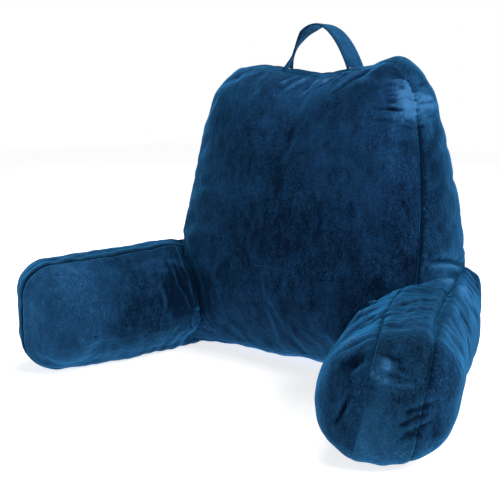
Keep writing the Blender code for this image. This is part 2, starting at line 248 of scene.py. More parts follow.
SWELLS = {  # place, reach, height
    "back": (
        ((0.100, 0.005, 0.010), 0.100, -0.004),
        ((0.020, 0.100, 0.455), 0.030, 0.003),
        ((0.190, 0.075, 0.425), 0.030, -0.004),
    ),
    "left": (
        ((-0.175, -0.050, 0.130), 0.022, -0.004),
    ),
    "right": (
        ((0.278, 0.120, 0.112), 0.050, -0.007),
        ((0.235, 0.165, 0.165), 0.035, 0.006),
        ((0.350, -0.150, 0.100), 0.050, -0.003),
        ((0.262, -0.242, 0.128), 0.020, -0.005),
        ((0.303, -0.240, 0.132), 0.016, 0.003),
        ((0.245, -0.235, 0.025), 0.030, 0.005),
        ((0.343, -0.195, 0.030), 0.035, 0.005),
    ),
}
CRUMPLES = {  # place, reach, size, height
    "back": (
        ((0.178, 0.052, 0.410), 0.036, 0.012, 0.0052),
        ((-0.140, -0.030, 0.060), 0.020, 0.012, 0.0015),
    ),
    "left": (
        ((-0.165, -0.060, 0.140), 0.035, 0.014, 0.0012),
    ),
    "right": (
        ((0.250, 0.040, 0.165), 0.040, 0.013, 0.0022),
        ((0.310, -0.242, 0.125), 0.030, 0.012, 0.0016),
        ((0.215, -0.130, 0.150), 0.035, 0.012, 0.0012),
    ),
}
FADED_SEAMS = {  # seam, place, reach, share left of its groove
    "back": (
        (0, (-0.030, 0.060, 0.457), 0.190, 0.05),
        (0, (0.150, 0.055, 0.440), 0.050, 0.10),
    ),
    "left": ((0, (-0.300, -0.200, 0.020), 0.120, 0.6),),
    "right": (
        (0, (0.335, -0.235, 0.050), 0.070, 0.05),
        (0, (0.300, -0.060, 0.155), 0.110, 2.60),
        (1, (0.265, -0.250, 0.060), 0.100, 0.00),
        (1, (0.220, -0.100, 0.155), 0.100, 0.30),
    ),
}


# Curves and profiles

def arc(centre, radius, start_deg, end_deg, count=40):
    angles = np.radians(np.linspace(start_deg, end_deg, count))
    return np.column_stack([centre[0] + radius * np.cos(angles), centre[1] + radius * np.sin(angles)])


def evenly_spaced(loop, count):
    closed = np.vstack([loop, loop[:1]])
    steps = np.linalg.norm(np.diff(closed, axis=0), axis=1)
    along = np.concatenate([[0.0], np.cumsum(steps)])
    places = np.linspace(0.0, along[-1], count, endpoint=False)
    return np.column_stack([np.interp(places, along, closed[:, axis]) for axis in (0, 1)])


def nearest_on_spine(loop, spine):
    start, end = np.array(spine[0]), np.array(spine[1])
    run = end - start
    share = np.clip((loop - start) @ run / (run @ run), 0.0, 1.0)
    return start + share[:, None] * run


def outward(loop, spine):
    away = loop - nearest_on_spine(loop, spine)
    return away / np.linalg.norm(away, axis=1)[:, None]


def panel_ring(loop, spine, step):
    """The outline drawn in towards its spine, and rounded towards the panel's middle."""
    away = loop - spine
    length = np.linalg.norm(away, axis=1)[:, None]
    blend = min(step / ROUND_MIDDLE, 1.0) ** 2
    return spine + away / length * step * (length * blend + length.mean() * (1.0 - blend))


def crown(step, shape):
    power, root, used = shape
    edge = (1.0 - used ** power) ** root
    return ((1.0 - (used * step) ** power) ** root - edge) / (1.0 - edge)


def puff(share):
    return 1.0 - abs(2.0 * share - 1.0) ** PUFF_POWER


def bulges(away, beside, below, above):
    """The boxing's greatest bulge at each point of an outline, from the way that point faces."""
    underneath = np.clip(-away[:, 1:], 0.0, 1.0) ** 3
    on_top = np.clip(away[:, 1:], 0.0, 1.0) ** 3
    return beside + (below - beside) * underneath + (above - beside) * on_top


def panel_steps(count, first):
    """Steps from near the middle of a panel to its seam, closer together towards the seam."""
    even = np.linspace(0.0, 1.0, count + 1)
    steps = even * 0.45 + 0.55 * (1.0 - (1.0 - even) ** 2)
    return first + (1.0 - first) * steps


def strip_steps(count):
    """Shares across a boxing strip, closer together towards its two seams."""
    even = np.linspace(0.0, 1.0, count + 1)
    return even * 0.45 + 0.55 * (0.5 - 0.5 * np.cos(math.pi * even))


# The back's surface

def back_outline(column, count):
    half, height = OUTLINE_HALF, BACK_HEIGHT
    low, high = BACK_BASE_CORNER, BACK_TOP_CORNER
    loop = evenly_spaced(np.vstack([
        [(0.0, 0.0)],
        arc((half - low, low), low, -90, 0),
        arc((half - high, height - high), high, 0, 90),
        arc((high - half, height - high), high, 90, 180),
        arc((low - half, low), low, 180, 270),
    ]), count)
    across = loop[:, 0] / half
    height_share = np.clip(loop[:, 1] / height, 0.0, 1.0)
    fit = np.polyfit(BACK_SECTIONS[:, 0], BACK_SECTIONS[:, column], 2)
    width = np.polyval(fit, loop[:, 1])
    rise = sum(size * np.exp(-((across - place) / reach) ** 2) for place, size, reach in TOP_EDGE)
    if column == 1:
        rise = rise + FRONT_TOP_LIFT
    lift = BACK_SEAM_LIFT * np.clip(1.0 - loop[:, 1] / SEAM_LIFT_REACH, 0.0, 1.0)
    return np.column_stack([across * width, loop[:, 1] + rise * height_share ** 8 + lift])


def back_front_y(loop):
    bow = np.clip(1.0 - (loop[:, 0] / BACK_SECTIONS[0, 1]) ** 2, -0.3, 1.0)
    fade = np.clip(1.0 - loop[:, 1] / BASE_BOW_REACH, 0.0, 1.0) ** 2
    return BACK_FRONT_Y + loop[:, 1] * math.tan(RECLINE) + BASE_BOW * bow * fade


def back_rear_y(loop):
    share = np.clip(loop[:, 1] / BACK_HEIGHT, 0.0, 1.0)
    depth = BACK_BASE_DEPTH + (BACK_TOP_DEPTH - BACK_BASE_DEPTH) * share
    depth = depth + REAR_FULLNESS * np.sin(math.pi * share)
    return BACK_FRONT_Y + loop[:, 1] * math.tan(RECLINE) + depth


def back_surface(count, front_steps, boxing_steps, rear_steps):
    """Rows of points from the middle of the front panel, over the boxing, to the rear panel's middle."""
    front, rear = back_outline(1, count), back_outline(2, count)
    away = outward(front, BACK_SPINE)
    bulge = bulges(away, BACK_PUFF, BACK_BASE_PUFF, BACK_TOP_PUFF)
    rows = []
    for loop, depth_of, height, steps in (
        (front, back_front_y, -FRONT_CROWN, front_steps),
        (None, None, None, boxing_steps),
        (rear, back_rear_y, REAR_CROWN, rear_steps[::-1]),
    ):
        for step in steps:
            if loop is None:
                ring = front * (1.0 - step) + rear * step + away * bulge * puff(step)
                depth = back_front_y(front) * (1.0 - step) + back_rear_y(rear) * step
                ring[:, 1] = np.maximum(ring[:, 1], 0.0)
            else:
                spine = nearest_on_spine(loop, BACK_SPINE)
                ring = panel_ring(loop, spine, step)
                depth = depth_of(ring) + height * crown(step, CROWN_SHAPE)
            rows.append(np.column_stack([ring[:, 0], depth, ring[:, 1]]))
    return np.array(rows)


# The arms' surfaces

def arm_outline(side, count):
    """The arm's seam in side view, starting at the tip of the nose."""
    nose_end = ARM_NOSE_END[side]
    nose_height = ARM_NOSE_HEIGHT + ARM_EXTRA_HEIGHT[side]
    root_height = ARM_ROOT_HEIGHT + ARM_EXTRA_HEIGHT[side]
    return evenly_spaced(np.vstack([
        [(nose_end, ARM_NOSE_HEIGHT / 2)],
        arc((nose_end - ARM_TOP_CORNER, nose_height - ARM_TOP_CORNER), ARM_TOP_CORNER, 0, 90),
        arc((ARM_BACK_END + ARM_REAR_CORNER, root_height - ARM_REAR_CORNER), ARM_REAR_CORNER, 90, 180),
        arc((ARM_BACK_END + ARM_BASE_CORNER, ARM_SEAM_LIFT + ARM_BASE_CORNER), ARM_BASE_CORNER, 180, 270),
        arc((nose_end - ARM_BASE_CORNER, ARM_SEAM_LIFT + ARM_BASE_CORNER), ARM_BASE_CORNER, -90, 0),
    ]), count)


def arm_course(along):
    places = np.linspace(-0.30, 0.40, 141)
    headings = np.radians(np.interp(places, ARM_COURSE[:, 0], ARM_COURSE[:, 1]))
    step = places[1] - places[0]
    x = np.concatenate([[0.0], np.cumsum((np.sin(headings)[1:] + np.sin(headings)[:-1]) / 2 * step)])
    y = np.concatenate([[0.0], np.cumsum((np.cos(headings)[1:] + np.cos(headings)[:-1]) / 2 * step)])
    x = ARM_ROOT[0] + x - np.interp(0.0, places, x)
    y = BACK_FRONT_Y + ARM_ROOT[1] - y + np.interp(0.0, places, y)
    return np.interp(along, places, x), np.interp(along, places, y), np.interp(along, places, headings)


def arm_place(loop, sideways, side):
    x, y, heading = arm_course(loop[:, 0])
    sideways = sideways + ARM_LEAN[side] * (loop[:, 1] - ARM_NOSE_HEIGHT / 2)
    return np.column_stack([
        side * (x + np.cos(heading) * sideways),
        y + np.sin(heading) * sideways,
        np.maximum(loop[:, 1], 0.0),
    ])


def arm_surface(side, count, outer_steps, boxing_steps, inner_steps):
    """Rows of points from the middle of the outer panel, over the boxing, to the inner panel's middle."""
    loop = arm_outline(side, count)
    ends = (
        (ARM_BACK_END + ARM_SPINE_INSET, ARM_ROOT_HEIGHT / 2),
        (ARM_NOSE_END[side] - ARM_SPINE_INSET, ARM_NOSE_HEIGHT / 2),
    )
    spine = nearest_on_spine(loop, ends)
    away = outward(loop, ends)
    half = ARM_BOXING_WIDTH / 2
    bulge = bulges(away, ARM_PUFF[side], ARM_BASE_PUFF, ARM_PUFF[side])
    rows = []
    for step in outer_steps:
        sideways = half + ARM_OUTER_CROWN[side] * crown(step, ARM_CROWN_SHAPE)
        rows.append(arm_place(panel_ring(loop, spine, step), sideways, side))
    for step in boxing_steps:
        rows.append(arm_place(loop + away * bulge * puff(step), half * (1.0 - 2.0 * step), side))
    for step in inner_steps[::-1]:
        sideways = -half - ARM_INNER_CROWN[side] * crown(step, ARM_CROWN_SHAPE)
        rows.append(arm_place(panel_ring(loop, spine, step), sideways, side))
    return np.array(rows)


# Working on a grid of points whose columns close on themselves

def unit_normals(grid):
    along = np.roll(grid, -1, axis=1) - np.roll(grid, 1, axis=1)
    across = np.gradient(grid, axis=0)
    normals = np.cross(along, across)
    length = np.linalg.norm(normals, axis=2)[..., None]
    normals = normals / np.maximum(length, 1e-12)
    centre = grid.reshape(-1, 3).mean(axis=0)
    if ((grid - centre) * normals).sum() < 0:
        normals = -normals
    return normals


def smooth(field, rounds):
    for _ in range(rounds):
        field = (np.roll(field, 1, axis=1) + np.roll(field, -1, axis=1) + 2 * field) / 4
        inner = (field[:-2] + field[2:] + 2 * field[1:-1]) / 4
        field = np.concatenate([field[:1], inner, field[-1:]])
    return field


def lattice_noise(rng, around, across, cells_around, cells_across):
    """Smooth noise from -1 to 1: around runs from 0 to 1 and closes on itself, across from 0 to 1."""
    table = rng.uniform(-1.0, 1.0, (cells_around, cells_across + 3))
    u = (around % 1.0) * cells_around
    v = np.clip(across, 0.0, 1.0) * cells_across
    iu, iv = np.floor(u).astype(int), np.floor(v).astype(int)
    fu, fv = u - iu, v - iv
    fu = fu * fu * (3 - 2 * fu)
    fv = fv * fv * (3 - 2 * fv)
    a, b = iu % cells_around, (iu + 1) % cells_around
    low = table[a, iv] * (1 - fu) + table[b, iv] * fu
    high = table[a, iv + 1] * (1 - fu) + table[b, iv + 1] * fu
    return low * (1 - fv) + high * fv


def densely(points, pitch):
    """The line through the points, with a point at about every pitch."""
    lengths = np.linalg.norm(np.diff(points, axis=0), axis=1)
    along = np.concatenate([[0.0], np.cumsum(lengths)])
    places = np.linspace(0.0, along[-1], max(int(along[-1] / pitch), 4))
    return np.column_stack([np.interp(places, along, points[:, axis]) for axis in range(3)])


def cloud(points, size, seed):
    """Soft noise in space, about -1 to 1, with lumps of the given size."""
    shift = Vector((seed * 7.3, seed * 3.1, seed * 5.7))
    flat = points.reshape(-1, 3) / size
    values = np.array([noise.noise(Vector(point) + shift) for point in flat])
    return values.reshape(points.shape[:-1])


class Dressing:
    """A grid of points with its seams, to which lumps, folds, puckers and grooves are added, with the
    painted highlight and painted shade that go with its folds and grooves.
    """

    def __init__(self, grid, seam_rows, seed):
        self.grid = grid
        self.rest = grid.copy()
        # painted highlight and painted shade of each point, later lightening or darkening the plush's
        # colour
        self.lift = np.zeros(grid.shape[:2])
        self.seam_rows = seam_rows
        self.rng = np.random.default_rng(seed)
        self.seed = seed
        steps = np.linalg.norm(np.diff(grid, axis=0), axis=2)
        self.run = np.vstack([np.zeros(grid.shape[1]), np.cumsum(steps, axis=0)])
        self.from_seam = [self.run - self.run[row] for row in seam_rows]
        edge = grid[seam_rows[0]]
        around = np.linalg.norm(np.roll(edge, -1, axis=0) - edge, axis=1)
        self.perimeter = around.sum()
        self.around = (np.concatenate([[0.0], np.cumsum(around)[:-1]]) / self.perimeter)[None, :]
        self.around = np.broadcast_to(self.around, grid.shape[:2])

    def round_seams(self, reach, rounds):
        """Softens the surface across each seam, within reach of it."""
        near = np.zeros(self.grid.shape[:2])
        for away in self.from_seam:
            near = np.maximum(near, np.exp(-(away / reach) ** 4))
        share = 0.5 * near[1:-1, :, None]
        for _ in range(rounds):
            middle = (self.grid[:-2] + self.grid[2:]) / 2
            self.grid[1:-1] += (middle - self.grid[1:-1]) * share

    def fill_seams(self, heights, reach):
        """Fills the valleys along the seams; one height for each seam."""
        self.push(sum(
            height * np.exp(-(away / reach) ** 2) for height, away in zip(heights, self.from_seam)
        ))

    def push(self, amount):
        self.grid = self.grid + unit_normals(self.grid) * amount[..., None]

    def lumps(self, size, height):
        self.push(cloud(self.grid, size, self.seed) * height)

    def puckers(self, pitch, height, reach):
        """Small gathers that run away from each seam on both sides and fade out."""
        total = np.zeros(self.grid.shape[:2])
        for away in self.from_seam:
            for side in (-1, 1):
                part = np.clip(side * away, 0.0, None)
                here = side * away >= 0
                cells = int(self.perimeter / pitch)
                wave = lattice_noise(self.rng, self.around, part / (reach * 4), cells, 5)
                wave = wave + 0.6 * lattice_noise(self.rng, self.around, part / (reach * 4), cells // 2, 3)
                strength = 0.35 + 0.65 * np.abs(lattice_noise(self.rng, self.around, part, cells // 7, 1))
                total += here * wave * strength * np.exp(-part / reach) * (1 - np.exp(-part / PUCKER_START))
        self.push(total * height)

    def grooves(self, dip, width, faded):
        """The seams' grooves; they fade around some places: seam, place, reach, share left."""
        total = np.zeros(self.grid.shape[:2])
        for seam, away in enumerate(self.from_seam):
            strength = np.ones(total.shape)
            for which, place, reach, left in faded:
                if which == seam:
                    gap = np.linalg.norm(self.rest - np.array(place), axis=2)
                    strength *= 1.0 - (1.0 - left) * np.exp(-(gap / reach) ** 4)
            groove = -dip * np.exp(-(away / width) ** 2)
            roll = SEAM_ROLL * np.exp(-((np.abs(away) - SEAM_ROLL_AWAY) / SEAM_ROLL_WIDTH) ** 2)
            total += strength * (groove + roll)
            # painted shade in the plush's colour along the seam's groove
            self.lift -= SEAM_SHADE * strength * np.exp(-(away / width) ** 2)
        self.push(total)

    def folds(self, table):
        """Ridges and troughs, each with softer ones beside it; a row is points, width and height."""
        flat = self.rest.reshape(-1, 3)
        total = np.zeros(len(flat))
        for row in table:
            points, width, height = (np.array(value) * MM for value in row)
            line = densely(points, FOLD_PITCH)
            reach = 4 * width + 0.012
            near = np.flatnonzero(((flat > line.min(0) - reach) & (flat < line.max(0) + reach)).all(axis=1))
            gaps = np.linalg.norm(flat[near][:, None] - line[None], axis=2)
            line = flat[near][gaps.argmin(axis=0)]
            for _ in range(FOLD_EASING):
                line[1:-1] = (line[:-2] + 2 * line[1:-1] + line[2:]) / 4
            gaps = np.linalg.norm(flat[near][:, None] - line[None], axis=2)
            place = gaps.argmin(axis=1) / (len(line) - 1)
            ratio = (gaps.min(axis=1) / width) ** 2
            taper = np.sin(math.pi * (0.06 + 0.88 * place)) ** 0.8
            wavy = 1.0 + 0.3 * np.sin(9.0 * place + height * 4000.0)
            total[near] += height * wavy * taper * (1.0 - FOLD_UNDERCUT * ratio) * np.exp(-ratio)
        total = total.reshape(self.grid.shape[:2])
        # painted highlight on the crests and painted shade in the troughs, for the plush's colour
        self.lift += total / FULL_HIGHLIGHT_FOLD_HEIGHT
        self.push(total)

    def swells(self, table):
        """Broad full or hollow places; a row is the place, reach and height."""
        for place, reach, height in table:
            gap = np.linalg.norm(self.rest - np.array(place), axis=2)
            self.push(height * np.exp(-(gap / reach) ** 2))

    def crumples(self, table):
        """Small sharp folds around a place; a row is the place, reach, size and height."""
        for place, reach, size, height in table:
            gap = np.linalg.norm(self.rest - np.array(place), axis=2)
            amount = np.zeros(gap.shape)
            near = gap < 2.2 * reach
            shape = cloud(self.rest[near] * CRUMPLE_STRETCH, size, self.seed + 5)
            amount[near] = 1.0 - CRUMPLE_SHARPNESS * np.abs(shape)
            amount *= height * np.exp(-(gap / reach) ** 2)
            # painted highlight on the crumples' crests and painted shade between them
            self.lift += amount / FULL_HIGHLIGHT_FOLD_HEIGHT
            self.push(amount)


def mesh_object(name, points, faces, material):
    mesh = bpy.data.meshes.new(name)
    mesh.from_pydata(points, [], faces)
    mesh.shade_smooth()
    mesh.materials.append(material)
    item = bpy.data.objects.new(name, mesh)
    bpy.context.scene.collection.objects.link(item)
    return item


def with_painted_light(item, lift):
    """Keeps each point's painted highlight, from how far it stands up in a fold, and its painted shade in
    troughs and seam grooves.
    """
    layer = item.data.attributes.new("lift", "FLOAT", "POINT")
    layer.data.foreach_set("value", np.clip(lift, -1.0, 1.0).ravel().astype(np.float32))
    return item


def ring_faces(rows, count, closed):
    row = np.arange(rows if closed else rows - 1)[:, None]
    column = np.arange(count)[None, :]
    here, there = row * count, (row + 1) % rows * count
    beside = (column + 1) % count
    return np.stack([here + column, here + beside, there + beside, there + column], axis=-1).reshape(-1, 4)


def zipped(base, count, turned):
    """Faces that close a slim ring by joining each point to the one across from it."""
    half = count // 2
    faces = [(base, base + 1, base + count - 1)]
    for index in range(1, half - 1):
        faces.append((base + index, base + index + 1, base + count - index - 1, base + count - index))
    faces.append((base + half - 1, base + half, base + half + 1))
    return [face[::-1] for face in faces] if turned else faces


def outward_faces(points, quads, caps=()):
    """All faces as lists, turned if together the quads enclose a negative volume."""
    a, b, c, d = (points[quads[:, corner]] for corner in range(4))
    volume = (a * np.cross(b, c)).sum() + (a * np.cross(c, d)).sum()
    faces = quads.tolist() + [list(face) for face in caps]
    return faces if volume > 0 else [face[::-1] for face in faces]


def closed_object(name, rows, material):
    """A grid as one closed body, with its first and last rows zipped up."""
    count = rows.shape[1]
    points = rows.reshape(-1, 3)
    caps = zipped(0, count, True) + zipped((len(rows) - 1) * count, count, False)
    faces = outward_faces(points, ring_faces(len(rows), count, False), caps)
    return mesh_object(name, points, faces, material)


def cushion_object(name, dressing, material):
    """The filled pad, set back under its boxing strip."""
    first, last = dressing.seam_rows
    grid = dressing.grid.copy()
    normals = unit_normals(grid)
    inset = STRIP_THICKNESS + GAP
    floor = grid[first:last + 1] - normals[first:last + 1] * inset
    rows = np.concatenate([grid[:first + 1], floor, grid[last:]])
    rows[..., 2] = np.maximum(rows[..., 2], 0.0)
    # painted highlight and shade of each row, the set-back rows taking the strip's values
    lift = np.concatenate([dressing.lift[:first + 1], dressing.lift[first:last + 1], dressing.lift[last:]])
    return with_painted_light(closed_object(name, rows, material), lift)


def strip_object(name, dressing, material):
    """The boxing strip between the two seams, a closed thin shell."""
    first, last = dressing.seam_rows
    outside = dressing.grid[first:last + 1].copy()
    normals = unit_normals(dressing.grid)[first:last + 1]
    for end, near in ((0, 1), (-1, -2)):
        step = outside[near] - outside[end]
        outside[end] = outside[end] + step * (GAP / np.linalg.norm(step, axis=1)[:, None])
    inside = outside - normals * STRIP_THICKNESS
    rows = np.concatenate([outside, inside[::-1]])
    rows[..., 2] = np.maximum(rows[..., 2], 0.0)
    points = rows.reshape(-1, 3)
    faces = ring_faces(len(rows), outside.shape[1], True)
    # painted highlight and shade of the strip's rows, on its outside and inside
    lift = dressing.lift[first:last + 1]
    item = mesh_object(name, points, outward_faces(points, faces), material)
    return with_painted_light(item, np.concatenate([lift, lift[::-1]]))


# Filling: the cloth is cut a little larger than the pad, pinned along its seams and blown up

def mesh_points(mesh):
    points = np.empty(len(mesh.vertices) * 3)
    mesh.vertices.foreach_get("co", points)
    return points.reshape(-1, 3)


def spread(values, edges, rounds):
    """Averages values over a mesh's edges."""
    count = np.zeros(len(values))
    np.add.at(count, edges[:, 0], 1)
    np.add.at(count, edges[:, 1], 1)
    for _ in range(rounds):
        total = np.zeros_like(values)
        for axis in range(values.shape[1]):
            total[:, axis] = np.bincount(edges[:, 0], values[edges[:, 1], axis], len(values))
            total[:, axis] += np.bincount(edges[:, 1], values[edges[:, 0], axis], len(values))
        values = 0.4 * values + 0.6 * total / np.maximum(count, 1)[:, None]
    return values


def limited(vectors, most):
    length = np.linalg.norm(vectors, axis=1)[:, None]
    return vectors * (np.tanh(length / most) * most / np.maximum(length, 1e-9))


def blown_up(dressing, loose, voxel, pressure, spare, calm, crease):
    """How far each point of the grid moves when the pad is filled."""
    grid = dressing.grid
    points = grid.reshape(-1, 3)
    item = closed_object("filling", grid, materials["back"])
    remesh = item.modifiers.new("even", "REMESH")
    remesh.mode = "VOXEL"
    remesh.voxel_size = voxel
    graph = bpy.context.evaluated_depsgraph_get()
    item.data = bpy.data.meshes.new_from_object(item.evaluated_get(graph))
    item.modifiers.clear()
    start = mesh_points(item.data)
    seams = np.concatenate([grid[row] for row in dressing.seam_rows])
    tree = KDTree(len(seams))
    for index, point in enumerate(seams):
        tree.insert(point, index)
    tree.balance()
    held = [
        index for index, point in enumerate(start)
        if tree.find(point)[2] < voxel * 0.75 or point[2] < HELD_FLOOR
    ]
    group = item.vertex_groups.new(name="held")
    group.add(held, 1.0, "REPLACE")
    slack = item.vertex_groups.new(name="slack")
    for index, point in enumerate(start):
        shares = [math.exp(-(np.linalg.norm(point - place) / reach) ** 2) for place, reach in loose]
        slack.add([index], max(shares), "REPLACE")
    cloth = item.modifiers.new("cloth", "CLOTH")
    how = cloth.settings
    for setting, value in CLOTH.items():
        setattr(how, setting, value)
    how.uniform_pressure_force = pressure
    how.effector_weights.gravity = 0.0
    how.vertex_group_mass = "held"
    how.pin_stiffness = 1.0
    how.vertex_group_shrink = "slack"
    how.shrink_min = -spare[0]
    how.shrink_max = -spare[1]
    cloth.collision_settings.use_collision = False
    scene = bpy.context.scene
    for step in range(1, FILLING_STEPS + 1):
        scene.frame_set(step)
    shape = item.evaluated_get(bpy.context.evaluated_depsgraph_get())
    moved = mesh_points(shape.data) - start
    edges = np.empty(len(item.data.edges) * 2, dtype=np.int32)
    item.data.edges.foreach_get("vertices", edges)
    broad = spread(moved, edges.reshape(-1, 2), 40)
    moved = limited(broad, calm) + limited(moved - broad, crease)
    item.data.calc_loop_triangles()
    corners = np.empty(len(item.data.loop_triangles) * 3, dtype=np.int32)
    item.data.loop_triangles.foreach_get("vertices", corners)
    corners = corners.reshape(-1, 3)
    finder = BVHTree.FromPolygons(start.tolist(), corners.tolist())
    result = np.zeros_like(points)
    for index, point in enumerate(points):
        spot, _, face, _ = finder.find_nearest(point)
        a, b, c = start[corners[face]]
        weights = np.array(spot)
        ab, ac, ap = b - a, c - a, weights - a
        d00, d01, d11, d20, d21 = ab @ ab, ab @ ac, ac @ ac, ap @ ab, ap @ ac
        whole = max(d00 * d11 - d01 * d01, 1e-18)
        v, w = (d11 * d20 - d01 * d21) / whole, (d00 * d21 - d01 * d20) / whole
        result[index] = moved[corners[face]].T @ (1 - v - w, v, w)
    bpy.data.objects.remove(item)
    scene.frame_set(1)
    return smooth(result.reshape(grid.shape), 2)


# Plush

PAINTED_HIGHLIGHT = (0.040, 0.150, 0.330)     # painted highlight colour at the top of the plush's colour ramp
# place of each piece's light end on the ramp; above it the painted highlight colour mixes in
PAINTED_HIGHLIGHT_FROM = 0.50
FLECKS = 0.65                          # how much lighter single tufts are
FOLD_PAINTED_HIGHLIGHT = 0.9                       # how much painted highlight a fold's crest gets, and painted shade its troughs and seam grooves


def set_inputs(node, values):
    for socket, value in values.items():
        node.inputs[socket].default_value = value


def plush(name, dark, light, seed, spots):
    """Short-pile plush: patches of nap brushed different ways, feathery strokes, fine pile and sheen, with
    painted highlights and painted shade from the spots and the folds.
    """
    material = bpy.data.materials.new(name)
    material.use_nodes = True
    tree = material.node_tree
    nodes, links = tree.nodes, tree.links
    shader = nodes["Principled BSDF"]
    set_inputs(shader, {
        "Roughness": 0.9,
        "Specular IOR Level": 0.03,
        "Sheen Weight": 0.65,
        "Sheen Roughness": 0.40,
        "Sheen Tint": (0.05, 0.42, 0.95, 1.0),
    })

    place = nodes.new("ShaderNodeTexCoord")

    def cloudy(scale, detail, stretch=(1.0, 1.0, 1.0), swirl=0.0):
        shift = nodes.new("ShaderNodeMapping")
        set_inputs(shift, {"Location": (seed * 1.37, seed * 0.73, seed * 2.11), "Scale": stretch})
        links.new(place.outputs["Object"], shift.inputs["Vector"])
        node = nodes.new("ShaderNodeTexNoise")
        set_inputs(node, {"Scale": scale, "Detail": detail, "Roughness": 0.6, "Distortion": swirl})
        links.new(shift.outputs["Vector"], node.inputs["Vector"])
        return node.outputs["Fac"]

    def stepped(output, low, high, start=0.0, end=1.0):
        node = nodes.new("ShaderNodeMapRange")
        node.interpolation_type = "SMOOTHSTEP"
        set_inputs(node, {"From Min": low, "From Max": high, "To Min": start, "To Max": end})
        links.new(output, node.inputs["Value"])
        return node.outputs["Result"]

    # painted highlights and painted shade around the given places
    def painted_light_spots():
        terms = []
        for centre, reach, strength in spots:
            away = nodes.new("ShaderNodeVectorMath")
            away.operation = "DISTANCE"
            away.inputs[1].default_value = centre
            links.new(place.outputs["Object"], away.inputs[0])
            terms.append((stepped(away.outputs["Value"], 0.0, reach, 1.0, 0.5), 2.0 * strength))
        return terms

    def combined(operation, *values):
        node = nodes.new("ShaderNodeMath")
        node.operation = operation
        for socket, value in zip(node.inputs, values):
            if isinstance(value, float):
                socket.default_value = value
            else:
                links.new(value, socket)
        return node.outputs[0]

    def sum_of(terms, start):
        """Adds noises or shares, each times its strength, round the given middle."""
        total = start - sum(strength for _, strength in terms) / 2
        for output, strength in terms:
            total = combined("MULTIPLY_ADD", output, strength, total)
        return total

    def bumped(height, strength, distance):
        node = nodes.new("ShaderNodeBump")
        set_inputs(node, {"Strength": strength, "Distance": distance})
        links.new(height, node.inputs["Height"])
        return node

    patches = cloudy(15.0, 3.0)
    strokes = cloudy(85.0, 5.0, (1.0, 1.0, 0.45))
    pile = cloudy(430.0, 2.0)
    flecks = combined(
        "MULTIPLY",
        stepped(cloudy(340.0, 2.0, (1.0, 1.0, 0.55), 1.2), 0.48, 0.72),
        stepped(cloudy(17.0, 3.0), 0.38, 0.66),
    )
    # painted highlight on fold crests, painted shade in troughs and seam grooves
    lift = nodes.new("ShaderNodeAttribute")
    lift.attribute_name = "lift"
    # random tone of the nap, plus painted highlights and painted shade from the spots
    tone_and_painted_light = sum_of([(patches, 1.0), (strokes, 1.1), (pile, 1.2)] + painted_light_spots(), 0.30)
    tone_and_painted_light = combined("MULTIPLY_ADD", flecks, FLECKS, tone_and_painted_light)
    tone_and_painted_light = combined("MULTIPLY_ADD", lift.outputs["Fac"], FOLD_PAINTED_HIGHLIGHT, tone_and_painted_light)
    tone_and_painted_light = combined("MULTIPLY", tone_and_painted_light, PAINTED_HIGHLIGHT_FROM)
    ramp = nodes.new("ShaderNodeValToRGB")
    ramp.color_ramp.elements[0].position = 0.0
    ramp.color_ramp.elements[0].color = (*dark, 1.0)
    ramp.color_ramp.elements[1].position = 1.0
    ramp.color_ramp.elements[1].color = (*PAINTED_HIGHLIGHT, 1.0)
    ramp.color_ramp.elements.new(PAINTED_HIGHLIGHT_FROM).color = (*light, 1.0)
    links.new(tone_and_painted_light, ramp.inputs["Fac"])
    links.new(ramp.outputs["Color"], shader.inputs["Base Color"])

    brushed = bumped(sum_of([(strokes, 0.8), (patches, 0.5)], 0.5), 0.5, 0.004)
    fine = bumped(pile, 0.6, 0.0010)
    links.new(brushed.outputs["Normal"], fine.inputs["Normal"])
    links.new(fine.outputs["Normal"], shader.inputs["Normal"])
    return material


